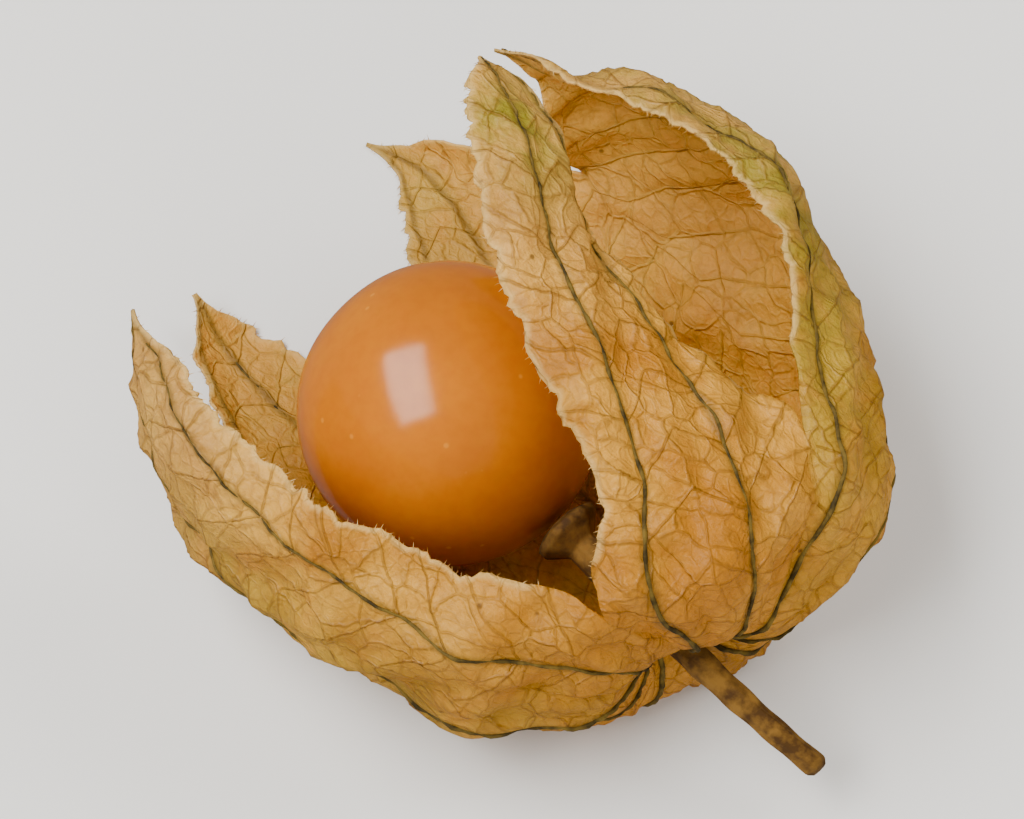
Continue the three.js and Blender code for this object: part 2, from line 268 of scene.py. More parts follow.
# %% [markdown]
# ## The fine sheet
# The paper of the husk is a fraction of a millimetre thick. It is made here as one fine
# grid for each lobe, with the margins shared below the splits, and it lies just under the
# outer face of the solid model's thicker wall. The paper stands out between the ribs, is
# gathered in pleats round the stalk, crumples as it dries, and one torn margin has rolled
# inwards. Each of these is a height added along the outward direction of the plain form.
# A cloth simulation could crumple the sheet too, but dry paper is stiff and keeps the shape
# that it grew in, and formulas leave that shape where the solid model has it.

# %% The paper's own relief
COLUMNS = 52
ROWS = 172
PAPER = 0.16
OUTWARD = (SOLID_WALL - PAPER) / 2 - 0.1
CRUMPLE = 0.3
FINE_CRUMPLE = 0.08
LANTERN_BULGE = 0.3
PLEATS = 22
SMALL_PLEATS = 37
PLEAT_HEIGHT = 0.17
FOLD_SLOPE = 0.38
FOLD_LIMIT = 1.1
ROLL_IN = 0.5
ROLL_WIDTH = 0.28
up_local = np.array([math.cos(FRUIT_RISE), 0, math.sin(FRUIT_RISE)])
FLOOR = BERRY_FROM_BASE * up_local[2] - FLOOR_BELOW_BERRY
print("floor below the berry's middle, mm:", FLOOR_BELOW_BERRY, "paper, mm:", PAPER)


def press_flat(p, above):
    """Keeps points at least so far above the surface that the fruit lies on."""
    lift = np.maximum(0, FLOOR + above - p @ up_local)
    return p + lift[..., None] * up_local


def bulge_between_ribs(lobe, u, t):
    """1 half way between two ribs or a rib and a margin, and 0 on them."""
    main, side = rib_places(lobe, t)
    stops = [np.full_like(t, -1), main, side, np.full_like(t, 1)]
    share = np.zeros_like(t)
    for a, b in zip(stops[:-1], stops[1:]):
        share = np.where((u >= a) & (u <= b), (u - a) / np.maximum(b - a, 1e-6), share)
    return np.sin(share * math.pi) ** 0.8


def pleats(p):
    """Gathers that run out from the stalk and fade up the sides."""
    around = np.arctan2(p[..., 1], p[..., 0])
    out = np.hypot(p[..., 0], p[..., 1])
    fade = smooth((out - 4) / 4) * (1 - smooth((p[..., 2] - 4) / 10))
    return fade * (np.sin(PLEATS * around + 0.3 * p[..., 2]) + 0.5 * np.sin(SMALL_PLEATS * around + 1.7))


def turned_in(lobe, u, t):
    """The left lobe is folded inwards along its side rib, and the front lobe's rim rolls."""
    if lobe["name"] == "left":
        beyond = (u - rib_places(lobe, t)[1]) * through(lobe["values"][3], t)
        fold = FOLD_LIMIT * np.tanh(np.maximum(0, beyond) * FOLD_SLOPE / FOLD_LIMIT)
        return fold * (1 - joined(lobe["split_right"], t))
    if lobe["name"] == "front":
        rim = smooth((-u - 1 + ROLL_WIDTH) / ROLL_WIDTH) ** 1.5
        return ROLL_IN * rim * (1 - joined(lobe["split_left"], t))
    return 0 * u


def paper_surface(index, u, t):
    """The middle of the paper: where it is, and which way is outward there."""
    lobe = LOBES[index]
    u, t = np.broadcast_arrays(np.asarray(u, float), np.asarray(t, float))
    p = husk_point(index, u, t)
    across = husk_point(index, u + 0.02, t) - husk_point(index, u - 0.02, t)
    behind, ahead = np.maximum(0, t - 0.005), np.minimum(1, t + 0.005)
    n = normalised(np.cross(across, husk_point(index, u, ahead) - husk_point(index, u, behind)))
    away = smooth((t - 0.1) / 0.2) * smooth(through(lobe["values"][3], t) / 5)
    small = np.sin(p @ np.array([2.1, 0.4, 1.3])) + np.sin(p @ np.array([-0.6, 1.9, 1.7]) + 1.0)
    lantern = bulge_between_ribs(lobe, u, t) * (1 - np.abs(u) ** 6)
    height = (crumple(p) * CRUMPLE + small * FINE_CRUMPLE + lantern * LANTERN_BULGE) * away
    height = height + pleats(p) * PLEAT_HEIGHT + OUTWARD
    return press_flat(p + n * (height - turned_in(lobe, u, t))[..., None], PAPER / 2), n


# %% [markdown]
# Where two margins are joined, both lobes get the mean of the two places, so the sheet has
# no step there. The vertices of joined margins are counted once, which makes the sheet
# whole below the splits and open above them.

# %% The five grids of points
def lobe_grid(index):
    lobe = LOBES[index]
    t = np.linspace(0, 1, ROWS + 1)[:, None]
    share = np.linspace(0, 1, COLUMNS + 1)[None, :]
    left, right = margin(lobe, -1, t), margin(lobe, 1, t)
    u = left + (right - left) * share
    return u, np.broadcast_to(t, u.shape)


def share_margins(grids):
    """Gives neighbours' margins the same values below their split."""
    for i, lobe in enumerate(LOBES):
        rows = round(lobe["split_right"] * ROWS) + 1
        other = grids[(i + 1) % len(LOBES)]
        mean = (grids[i][:rows, -1] + other[:rows, 0]) / 2
        grids[i][:rows, -1] = mean
        other[:rows, 0] = mean


def number_vertices():
    numbers, count = [], 0
    for i, lobe in enumerate(LOBES):
        grid = np.full((ROWS + 1, COLUMNS + 1), -1)
        if i > 0:
            rows = round(lobe["split_left"] * ROWS) + 1
            grid[:rows, 0] = numbers[i - 1][:rows, -1]
        if i == len(LOBES) - 1:
            rows = round(lobe["split_right"] * ROWS) + 1
            grid[:rows, -1] = numbers[0][:rows, 0]
        new = grid < 0
        grid[new] = count + np.arange(new.sum())
        count += new.sum()
        numbers.append(grid)
    return numbers, count


places = [lobe_grid(index) for index in range(len(LOBES))]
sheets = [paper_surface(index, u, t)[0] for index, (u, t) in enumerate(places)]
share_margins(sheets)
numbers, vertex_count = number_vertices()
print("rows and columns in a lobe:", ROWS, COLUMNS, "vertices in all:", vertex_count)

# %% [markdown]
# Each vertex also keeps what the veins and the colours need to know about its place: how
# far it is from a rib, from a torn edge and from the base, in millimetres, how green it
# stayed, and where it was before any vein was raised. Unlike a UV map, these values have
# no jump where two lobes meet.

# %% What each vertex knows about its place
LOBE_LENGTH = 45.0
GREEN_AT = {"front": (0.8, 0.12, 3.4, 0.95), "right": (0.55, 0.35, 9.0, 0.75),
            "under_right": (0.4, 0.3, 4.0, 0.35), "under": (0.5, 0.2, 3.0, 0.3),
            "left": (0.5, 0.35, 7.0, 0.5)}


def to_rib(lobe, u, t):
    width = through(lobe["values"][3], t)
    main, side = rib_places(lobe, t)
    return np.minimum(np.abs(u - main), np.abs(u - side)) * width


def to_torn_edge(lobe, u, t):
    width = through(lobe["values"][3], t)
    nearest = (1 - t) * LOBE_LENGTH
    for way, split in ((-1, lobe["split_left"]), (1, lobe["split_right"])):
        below = np.maximum(0, split + PART_OVER / 2 - t) * LOBE_LENGTH
        nearest = np.minimum(nearest, np.hypot(np.abs(margin(lobe, way, t) - u) * width, below))
    return nearest


def from_base(lobe, u, t):
    steps = np.diff(middle_line(lobe, t[:, 0]), axis=0)
    length = np.concatenate([[0], np.cumsum(np.linalg.norm(steps, axis=1))])
    return np.broadcast_to(length[:, None], u.shape).copy()


def greenness(lobe, u, t):
    """Green is left along the main rib, most where the lobe was last in leaf."""
    middle, spread, reach, strength = GREEN_AT[lobe["name"]]
    main = rib_places(lobe, t)[0]
    off = (u - main) * through(lobe["values"][3], t)
    return strength * np.exp(-(((t - middle) / spread) ** 2) - (off / reach) ** 2)


def gather(measure):
    grids = [measure(lobe, u, t) for lobe, (u, t) in zip(LOBES, places)]
    share_margins(grids)
    values = np.zeros(vertex_count)
    for grid, value in zip(numbers, grids):
        values[grid] = value
    return values


def make_object(name, mesh):
    made = bpy.data.objects.new(name, mesh)
    bpy.context.scene.collection.objects.link(made)
    return made


def mesh_from(name, points, edges, faces):
    mesh = bpy.data.meshes.new(name)
    mesh.from_pydata(np.asarray(points).tolist(), edges, faces)
    mesh.shade_smooth()
    return mesh


def keep_on_points(mesh, name, values):
    values = np.asarray(values, np.float32)
    kind, field = ("FLOAT_VECTOR", "vector") if values.ndim == 2 else ("FLOAT", "value")
    mesh.attributes.new(name, kind, "POINT").data.foreach_set(field, values.ravel())


points = np.zeros((vertex_count, 3))
faces = []
for grid, sheet in zip(numbers, sheets):
    points[grid] = sheet
    corners = [grid[:-1, :-1], grid[:-1, 1:], grid[1:, 1:], grid[1:, :-1]]
    faces += np.stack(corners, -1).reshape(-1, 4).tolist()
sheet_mesh = mesh_from("husk_sheet", lay_down(points), [], faces)
keep_on_points(sheet_mesh, "plain_mm", points)
for name, measure in (("near_rib", to_rib), ("near_edge", to_torn_edge),
                      ("from_base", from_base), ("green", greenness)):
    keep_on_points(sheet_mesh, name, gather(measure))
print("husk sheet:", len(sheet_mesh.polygons), "faces, values:",
      [a.name for a in sheet_mesh.attributes if a.domain == "POINT"])

# %% [markdown]
# ## The net of veins
# From each rib side veins rise at an angle, and a finer net of cells hangs between them.
# On the real husk the veins stand up and are also darker, so one description has to serve
# both the relief and the colour. The function below adds it to a tree of either kind. Side
# veins are lines of equal height above a slope that falls away from the ribs. The net is
# the edges of two sizes of cells, drawn out along the lobe as the lobe grew. All of it is
# bent by noise, because nothing grown is ruled. The fine grid of the sheet can't hold a
# line of a tenth of a millimetre, so the relief asks for the same lines drawn broader.

# %% A node helper and the vein pattern
SIDE_VEINS_APART = 3.7
SLOPE = 0.9
CELL = 1.9
SMALL_CELL = 0.8
LENGTHWAYS = 0.68
SWAY_SIZE = 5.0
SWAY = 2.4


def add(tree, kind, links=None, **settings):
    """Adds a node with its settings. A socket takes a value, or a node's result in use."""
    made = tree.nodes.new(kind)
    for name, value in settings.items():
        setattr(made, name, value)
    for socket, value in (links or {}).items():
        if isinstance(value, bpy.types.Node):
            value = next(output for output in value.outputs if output.enabled)
        if isinstance(value, bpy.types.NodeSocket):
            tree.links.new(value, made.inputs[socket])
        else:
            made.inputs[socket].default_value = value
    return made


def veins(tree, place, rib, along, line):
    """Side veins, net and fine net: each is 1 on a vein and 0 past the line's width."""
    sway = add(tree, "ShaderNodeTexNoise", {"Vector": place, "Scale": 1 / SWAY_SIZE, "Detail": 3.0})
    sway = add(tree, "ShaderNodeVectorMath", {0: sway.outputs["Color"], 1: (0.5, 0.5, 0.5)},
               operation="SUBTRACT")
    sway = add(tree, "ShaderNodeVectorMath", {0: sway, "Scale": SWAY}, operation="SCALE")
    bent = add(tree, "ShaderNodeVectorMath", {0: place, 1: sway}, operation="ADD")
    bent = add(tree, "ShaderNodeVectorMath", {0: bent, 1: (1.0, 1.0, LENGTHWAYS)},
               operation="MULTIPLY")
    slope = add(tree, "ShaderNodeMath", {0: rib, 1: -SLOPE, 2: along}, operation="MULTIPLY_ADD")
    shift = add(tree, "ShaderNodeSeparateXYZ", {0: sway}).outputs["Z"]
    slope = add(tree, "ShaderNodeMath", {0: slope, 1: shift}, operation="ADD")
    slope = add(tree, "ShaderNodeMath", {0: slope, 1: SIDE_VEINS_APART / 2}, operation="PINGPONG")
    found = [add(tree, "ShaderNodeMapRange", {0: slope, 2: 1.5 * line, 3: 1.0, 4: 0.0},
                 interpolation_type="SMOOTHSTEP")]
    for cell in (CELL, SMALL_CELL):
        edge = add(tree, "ShaderNodeTexVoronoi", {"Vector": bent, "Scale": 1 / cell, "Randomness": 0.9},
                   feature="DISTANCE_TO_EDGE")
        found.append(add(tree, "ShaderNodeMapRange", {0: edge, 2: line / cell, 3: 1.0, 4: 0.0},
                         interpolation_type="SMOOTHSTEP"))
    return found


# %% [markdown]
# ## Raising the veins
# The relief is made with Geometry Nodes, because the same rule holds at every point of
# the sheet: move it along its normal by the height of the veins there. The paper between
# the veins puckers as it dries, which a noise adds, and it stays level along the ribs.
# Solidify then gives the sheet its thickness.

# %% Relief by Geometry Nodes
def new_geometry_tree(name, inputs):
    tree = bpy.data.node_groups.new(name, "GeometryNodeTree")
    tree.interface.new_socket("Geometry", in_out="INPUT", socket_type="NodeSocketGeometry")
    for label, kind in inputs.items():
        tree.interface.new_socket(label, in_out="INPUT", socket_type=kind)
    tree.interface.new_socket("Geometry", in_out="OUTPUT", socket_type="NodeSocketGeometry")
    return tree, tree.nodes.new("NodeGroupInput"), tree.nodes.new("NodeGroupOutput")


def finish_tree(tree, result, geometry, material):
    """Every tree ends in real geometry that wears its material."""
    whole = add(tree, "GeometryNodeRealizeInstances", {0: geometry})
    dressed = add(tree, "GeometryNodeSetMaterial", {"Geometry": whole, "Material": material})
    tree.links.new(dressed.outputs[0], result.inputs[0])


def keep_result(obj):
    """Keeps what the modifiers made as the object's plain mesh."""
    graph = bpy.context.evaluated_depsgraph_get()
    graph.update()
    made = bpy.data.meshes.new_from_object(obj.evaluated_get(graph), depsgraph=graph)
    obj.modifiers.clear()
    obj.data = made


def grow(obj, tree, values):
    modifier = obj.modifiers.new("grow", "NODES")
    modifier.node_group = tree
    sockets = {item.name: item.identifier for item in tree.interface.items_tree
               if item.item_type == "SOCKET" and item.in_out == "INPUT"}
    for label, value in values.items():
        modifier[sockets[label]] = value
    keep_result(obj)


HEIGHTS = {"Side vein": 0.16, "Net": 0.12, "Fine net": 0.04, "Rib": 0.16, "Pucker": 0.34}
RELIEF_LINE = 0.36
PUCKER_SIZE = 1.4
raise_veins, given, result = new_geometry_tree(
    "raise_veins", {**dict.fromkeys(HEIGHTS, "NodeSocketFloat"), "Paper": "NodeSocketMaterial"})
tree = raise_veins
plain = add(tree, "GeometryNodeInputNamedAttribute", {"Name": "plain_mm"},
            data_type="FLOAT_VECTOR")
near_rib, along, near_edge = (
    add(tree, "GeometryNodeInputNamedAttribute", {"Name": name}, data_type="FLOAT")
    for name in ("near_rib", "from_base", "near_edge"))
height = add(tree, "ShaderNodeTexNoise", {"Vector": plain, "Scale": 1 / PUCKER_SIZE, "Detail": 3.0})
height = add(tree, "ShaderNodeMath", {0: height, 1: 0.5}, operation="SUBTRACT")
height = add(tree, "ShaderNodeMath", {0: height, 1: given.outputs["Pucker"]}, operation="MULTIPLY")
relief_lines = veins(tree, plain, near_rib, along, RELIEF_LINE)
for strength, label in zip(relief_lines, ("Side vein", "Net", "Fine net")):
    height = add(tree, "ShaderNodeMath", {0: strength, 1: given.outputs[label], 2: height},
                 operation="MULTIPLY_ADD")
for value, width, low in ((near_rib, 0.8, 0.0), (near_edge, 0.8, 0.6)):
    fade = add(tree, "ShaderNodeMapRange", {0: value, 2: width, 3: low, 4: 1.0},
               interpolation_type="SMOOTHSTEP")
    height = add(tree, "ShaderNodeMath", {0: height, 1: fade}, operation="MULTIPLY")
rib = add(tree, "ShaderNodeMapRange", {0: near_rib, 2: 0.9, 3: 1.0, 4: 0.0},
          interpolation_type="SMOOTHSTEP")
height = add(tree, "ShaderNodeMath", {0: rib, 1: given.outputs["Rib"], 2: height},
             operation="MULTIPLY_ADD")
height = add(tree, "ShaderNodeMath", {0: height, 1: MM}, operation="MULTIPLY")
normal = add(tree, "GeometryNodeInputNormal")
offset = add(tree, "ShaderNodeVectorMath", {0: normal, "Scale": height}, operation="SCALE")
moved = add(tree, "GeometryNodeSetPosition", {"Geometry": given.outputs[0], "Offset": offset})
finish_tree(tree, result, moved, given.outputs["Paper"])
print("relief tree:", len(tree.nodes), "nodes")

# %% [markdown]
# ## Colours and materials
# Colours are picked as they look on a screen, and shaders want linear light, so one
# function turns the hex value of a colour into the other. A second one starts a material
# with nothing in its tree but the output, so that each tree shows all that it uses.

# %% From a hex colour to linear light, and a new material
def colour(hex_value):
    parts = [int(hex_value[k:k + 2], 16) / 255 for k in (1, 3, 5)]
    linear = [c / 12.92 if c <= 0.04045 else ((c + 0.055) / 1.055) ** 2.4 for c in parts]
    return (*linear, 1.0)


def new_material(name):
    material = bpy.data.materials.new(name)
    material.use_nodes = True
    material.node_tree.nodes.clear()
    return material, material.node_tree, material.node_tree.nodes.new("ShaderNodeOutputMaterial")


print("straw, as linear light:", [round(c, 3) for c in colour("#E0A436")])

# %% [markdown]
# ## The paper of the husk
# The husk is dried leaf tissue, faintly waxy: straw and golden tan outside with a trace of
# the green it had, and smoother inside. The inside paper's colours are paler and more golden
# than the outside's, which is painted light: they are brightened to lift the shade in the
# hollow of the husk and tinted for the light that comes through the paper and off the berry.
# The paper lets light through, so part of the shader is translucent. The veins take the same
# pattern that raised them, drawn fine and with uneven strength, torn edges and tips are pale
# where the fibres show, and small brown flecks are dried spots. The colour is built up in
# layers. Each one is a value, the stretch of it over which a strength runs from one share to
# another, what that strength is multiplied by, and the colour that it lays over what is there.

# %% Husk paper
VEIN_LINE = 0.11
BUMP_HEIGHT = 0.16 * MM
PLANT_IOR = 1.45
PATTERNS = {"patches": (7.0, 4.0), "blotches": (3.0, 3.0), "mottle": (0.6, 4.0),
            "uneven": (2.2, 2.0), "grain": (0.26, 4.0)}
SPOTS_A_MM = 0.36
RIB_SHADE, SPOT = "#6A4E1C", "#5E3A12"


def husk_paper(name, pale, deep, green, vein, rim, vein_strength, through_light):
    material, tree, output = new_material(name)
    plain = add(tree, "ShaderNodeAttribute", attribute_name="plain_mm").outputs["Vector"]
    near_rib, along, near_edge, leafy = (
        add(tree, "ShaderNodeAttribute", attribute_name=value).outputs["Fac"]
        for value in ("near_rib", "from_base", "near_edge", "green"))
    side, net, fine_net = veins(tree, plain, near_rib, along, VEIN_LINE)
    patches, blotches, mottle, uneven, grain = (
        add(tree, "ShaderNodeTexNoise",
            {"Vector": plain, "Scale": 1 / size, "Detail": detail, "Roughness": 0.6})
        for size, detail in PATTERNS.values())
    spots = add(tree, "ShaderNodeTexVoronoi", {"Vector": plain, "Scale": SPOTS_A_MM})
    spots = spots.outputs["Distance"]
    layers = [(patches, 0.36, 0.64, 0.0, 1.0, None, deep), (along, 24.0, 4.0, 0.0, 0.65, None, deep),
              (along, 24.0, 40.0, 0.0, 0.35, None, rim), (blotches, 0.3, 0.6, 0.2, 1.0, leafy, green),
              (mottle, 0.4, 0.75, 0.0, 0.3, None, vein),
              (fine_net, 0.0, 1.0, 0.0, 0.4 * vein_strength, uneven, vein),
              (net, 0.0, 1.0, 0.0, 0.75 * vein_strength, uneven, vein),
              (side, 0.0, 1.0, 0.0, vein_strength, uneven, vein),
              (near_rib, 0.05, 0.45, 0.6, 0.0, None, RIB_SHADE),
              (spots, 0.03, 0.08, 0.7, 0.0, None, SPOT), (near_edge, 0.05, 0.5, 0.6, 0.0, None, rim)]
    uneven = add(tree, "ShaderNodeMapRange", {0: uneven, 1: 0.3, 2: 0.6, 3: 0.4, 4: 1.0})
    base = colour(pale)
    for value, start, end, low, high, times, over in layers:
        share = add(tree, "ShaderNodeMapRange", {0: value, 1: start, 2: end, 3: low, 4: high},
                    interpolation_type="SMOOTHSTEP")
        if times is not None:
            share = add(tree, "ShaderNodeMath", {0: share, 1: times}, operation="MULTIPLY")
        base = add(tree, "ShaderNodeMix", {0: share, 6: base, 7: colour(over)}, data_type="RGBA")
    relief = grain
    for vein_height, share in ((fine_net, 0.3), (net, 0.7), (side, 0.9)):
        relief = add(tree, "ShaderNodeMath", {0: vein_height, 1: share, 2: relief},
                     operation="MULTIPLY_ADD")
    bump = add(tree, "ShaderNodeBump", {"Height": relief, "Distance": BUMP_HEIGHT, "Strength": 0.8})
    rough = add(tree, "ShaderNodeMapRange", {0: mottle, 1: 0.3, 2: 0.7, 3: 0.38, 4: 0.56})
    surface = add(tree, "ShaderNodeBsdfPrincipled",
                  {"Base Color": base, "Roughness": rough, "IOR": PLANT_IOR, "Normal": bump})
    glow = add(tree, "ShaderNodeBsdfTranslucent", {"Color": base, "Normal": bump})
    both = add(tree, "ShaderNodeMixShader", {0: through_light, 1: surface, 2: glow})
    tree.links.new(both.outputs[0], output.inputs[0])
    return material


outside = husk_paper("dry_husk_outside", "#E0A436", "#BA7810", "#868210", "#80500C", "#E8C272", 0.8, 0.32)
# Painted light: the inside paper's colours are brightened against the shade in the husk's hollow and made
# more golden for light through the paper and off the berry.
inside = husk_paper("dry_husk_inside_painted_light", "#F4BC38", "#E6A01E", "#BEA428", "#A0680E", "#EAC46C", 0.35, 0.5)
print("paper materials:", outside.name, inside.name)

# %% [markdown]
# With both papers made, the sheet is raised and then given its thickness, the outside paper
# on one face and the torn edge, the inside paper on the other. Half the thickness is kept
# free under it, so where the fruit lies the sheet rests on the floor and doesn't sink in.

# %% Give the sheet its relief and its thickness
def vertex_places(mesh):
    co = np.empty(len(mesh.vertices) * 3, np.float32)
    mesh.vertices.foreach_get("co", co)
    return co.reshape(-1, 3)


def keep_inside_solid_box(obj, inset=0.0):
    """No vertex leaves the solid model's box or sinks into the floor."""
    low, high = (np.array(corner) for corner in solid_box)
    co = np.clip(vertex_places(obj.data), low + inset, high - inset).astype(np.float32)
    obj.data.vertices.foreach_set("co", co.ravel())
    obj.data.update()


husk = make_object("husk_paper", sheet_mesh)
grow(husk, raise_veins, {**HEIGHTS, "Paper": outside})
keep_inside_solid_box(husk, PAPER / 2 * MM)
raised = vertex_places(husk.data)
husk.data.materials.append(inside)
thick = husk.modifiers.new("paper", "SOLIDIFY")
thick.thickness = PAPER * MM
thick.offset = 0.0
thick.use_rim = True
thick.material_offset = 1
thick.material_offset_rim = 0
keep_result(husk)
keep_inside_solid_box(husk)
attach(husk, "root")
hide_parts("husk")
print("husk:", len(husk.data.polygons), "faces, materials", [m.name for m in husk.data.materials])

# %% [markdown]
# ## The ribs
# Ten long ribs carry the husk. They dry to dark, slightly kinked strands that stand on the
# paper, thick near the stalk and fine as a hair at the tips. Each one is a path over the
# finished surface, and Geometry Nodes run a small round section along all of them, with
# the radius taken from a value on the path. Where the fruit lies on the floor a rib is
# pressed into the paper.

# %% Paths for the ribs
RIB_STEPS = 170
RIB_SIDES = 8
RIB_RADIUS = 0.18
RIB_TIP_RADIUS = 0.06
PRESSED_RADIUS = 0.07
rib_points, rib_edges, rib_radii = [], [], []
for i, lobe in enumerate(LOBES):
    for which, end, share in ((0, 0.99, 1.0), (1, 0.93, 0.8)):
        t = np.linspace(0.015, end, RIB_STEPS)
        p, n = paper_surface(i, rib_places(lobe, t)[which], t)
        radius = (RIB_RADIUS * (1 - t) + RIB_TIP_RADIUS * t) * share
        radius = radius * (1 + 0.22 * np.sin(t * 210 + 2 * i) * np.sin(t * 87))
        kink = 0.05 * np.sin(t * 140 + i) + 0.03 * np.sin(t * 333 + which)
        pressed = smooth((FLOOR + 0.6 - p @ up_local) / 0.4)
        radius = radius * (1 - pressed) + PRESSED_RADIUS * pressed
        stand = (HEIGHTS["Rib"] + PAPER / 2 + 0.3 * radius + kink) * (1 - pressed)
        first = len(rib_points) * RIB_STEPS
        rib_points.append(press_flat(p + n * stand[:, None], PAPER / 2))
        rib_radii.append(radius)
        rib_edges += [(first + k, first + k + 1) for k in range(RIB_STEPS - 1)]
rib_mesh = mesh_from("rib_paths", lay_down(np.concatenate(rib_points)), rib_edges, [])
keep_on_points(rib_mesh, "radius_mm", np.concatenate(rib_radii))
print("rib paths:", len(rib_points))

# %% Ribs by Geometry Nodes
run_ribs, given, result = new_geometry_tree(
    "run_ribs", {"Sides": "NodeSocketInt", "Strand": "NodeSocketMaterial"})
tree = run_ribs
line = add(tree, "GeometryNodeMeshToCurve", {"Mesh": given.outputs[0]})
radius = add(tree, "GeometryNodeInputNamedAttribute", {"Name": "radius_mm"}, data_type="FLOAT")
radius = add(tree, "ShaderNodeMath", {0: radius, 1: MM}, operation="MULTIPLY")
ring = add(tree, "GeometryNodeCurvePrimitiveCircle",
           {"Resolution": given.outputs["Sides"], "Radius": 1.0})
tube = add(tree, "GeometryNodeCurveToMesh",
           {"Curve": line, "Profile Curve": ring, "Scale": radius, "Fill Caps": True})
soft = add(tree, "GeometryNodeSetShadeSmooth", {0: tube})
finish_tree(tree, result, soft, given.outputs["Strand"])
print("rib tree:", len(tree.nodes), "nodes")

# %% [markdown]
# Ribs and stalk are dried plant fibre. It is matt and hardly mirrors anything, and it is
# mottled from olive brown to nearly black, in spots a millimetre or two across.

# %% Dry strand for the ribs and the stalk
def dry_strand(name, pale, dark, grain):
    """Dried stalk fibre. The grain is the size of its mottling, in millimetres."""
    material, tree, output = new_material(name)
    place = add(tree, "ShaderNodeTexCoord").outputs["Object"]
    patches = add(tree, "ShaderNodeTexNoise",
                  {"Vector": place, "Scale": 1 / (grain * MM), "Detail": 4.0, "Roughness": 0.65})
    share = add(tree, "ShaderNodeMapRange", {0: patches, 1: 0.38, 2: 0.62})
    base = add(tree, "ShaderNodeMix", {0: share, 6: colour(dark), 7: colour(pale)}, data_type="RGBA")
    rough = add(tree, "ShaderNodeMapRange", {0: patches, 1: 0.3, 2: 0.7, 3: 0.7, 4: 0.9})
    bump = add(tree, "ShaderNodeBump", {"Height": patches, "Distance": 0.1 * MM, "Strength": 0.6})
    surface = add(tree, "ShaderNodeBsdfPrincipled",
                  {"Base Color": base, "Roughness": rough, "IOR": PLANT_IOR, "Normal": bump,
                   "Specular IOR Level": 0.25})
    tree.links.new(surface.outputs[0], output.inputs[0])
    return material


ribs = make_object("husk_ribs", rib_mesh)
rib_strand = dry_strand("dry_rib_strand", "#64501E", "#2E240A", 1.2)
grow(ribs, run_ribs, {"Sides": RIB_SIDES, "Strand": rib_strand})
keep_inside_solid_box(ribs)
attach(ribs, "root")
print("ribs:", len(ribs.data.polygons), "faces")

# %% [markdown]
# ## The torn fringe
# Where the paper tore, stray fibres stand out of the edge. They are short, no two alike,
# and hardly thicker than a hair. Each vertex along a free margin carries one: Geometry
# Nodes put a three-sided sliver there, lean it out of the sheet with some spread, and
# vary its length.

# %% Roots of the fibres, on the free margins
fringe_roots, fringe_outward = [], []
for i, lobe in enumerate(LOBES):
    for column, inner, split in ((0, 2, lobe["split_left"]), (-1, -3, lobe["split_right"])):
        rows = np.arange(round((split + 0.06) * ROWS), ROWS - 1)
        edge = raised[numbers[i][rows, column]]
        fringe_roots.append(edge)
        fringe_outward.append(normalised(edge - raised[numbers[i][rows, inner]]))
fringe_mesh = mesh_from("fringe_roots", np.concatenate(fringe_roots), [], [])
keep_on_points(fringe_mesh, "outward", np.concatenate(fringe_outward))
print("fibres:", len(fringe_mesh.vertices))

# %% Fibres by Geometry Nodes
FIBRE = {"Fibre length": 0.42 * MM, "Fibre radius": 0.04 * MM, "Spread": 0.6, "Seed": 11}
torn_fringe, given, result = new_geometry_tree(
    "torn_fringe", {"Fibre length": "NodeSocketFloat", "Fibre radius": "NodeSocketFloat",
                    "Spread": "NodeSocketFloat", "Seed": "NodeSocketInt",
                    "Fibre": "NodeSocketMaterial"})
tree = torn_fringe
sliver = add(tree, "GeometryNodeMeshCone",
             {"Vertices": 3, "Radius Top": 0.0, "Radius Bottom": given.outputs["Fibre radius"],
              "Depth": given.outputs["Fibre length"]})
outward = add(tree, "GeometryNodeInputNamedAttribute", {"Name": "outward"},
              data_type="FLOAT_VECTOR")
lean = add(tree, "FunctionNodeRandomValue",
           {0: (-1.0, -1.0, -1.0), 1: (1.0, 1.0, 1.0), "Seed": given.outputs["Seed"]},
           data_type="FLOAT_VECTOR")
lean = add(tree, "ShaderNodeVectorMath", {0: lean, "Scale": given.outputs["Spread"]}, operation="SCALE")
lean = add(tree, "ShaderNodeVectorMath", {0: lean, 1: outward}, operation="ADD")
turn = add(tree, "FunctionNodeAlignRotationToVector", {"Vector": lean}, axis="Z")
length = add(tree, "FunctionNodeRandomValue", {2: 0.1, 3: 1.0, "Seed": given.outputs["Seed"]},
             data_type="FLOAT")
fibres = add(tree, "GeometryNodeInstanceOnPoints",
             {"Points": given.outputs[0], "Instance": sliver, "Rotation": turn, "Scale": length})
finish_tree(tree, result, fibres, given.outputs["Fibre"])
print("fringe tree:", len(tree.nodes), "nodes")

# %% [markdown]
# The fibres are bleached leaf tissue, paler than the paper and matt, and so thin that light
# comes through them. They are too small to show any pattern, so two close colours and a
# share of translucent shader are enough.

# %% Torn fibre
def torn_fibre(name, pale, deep):
    """Bleached leaf fibre: straw-coloured, matt, and it lets some light through."""
    material, tree, output = new_material(name)
    place = add(tree, "ShaderNodeTexCoord").outputs["Object"]
    patches = add(tree, "ShaderNodeTexNoise",
                  {"Vector": place, "Scale": 1 / (1.5 * MM), "Detail": 2.0})
    share = add(tree, "ShaderNodeMapRange", {0: patches, 1: 0.4, 2: 0.6})
    base = add(tree, "ShaderNodeMix", {0: share, 6: colour(deep), 7: colour(pale)}, data_type="RGBA")
    surface = add(tree, "ShaderNodeBsdfPrincipled",
                  {"Base Color": base, "Roughness": 0.6, "IOR": PLANT_IOR})
    glow = add(tree, "ShaderNodeBsdfTranslucent", {"Color": base})
    both = add(tree, "ShaderNodeMixShader", {0: 0.3, 1: surface, 2: glow})
    tree.links.new(both.outputs[0], output.inputs[0])
    return material


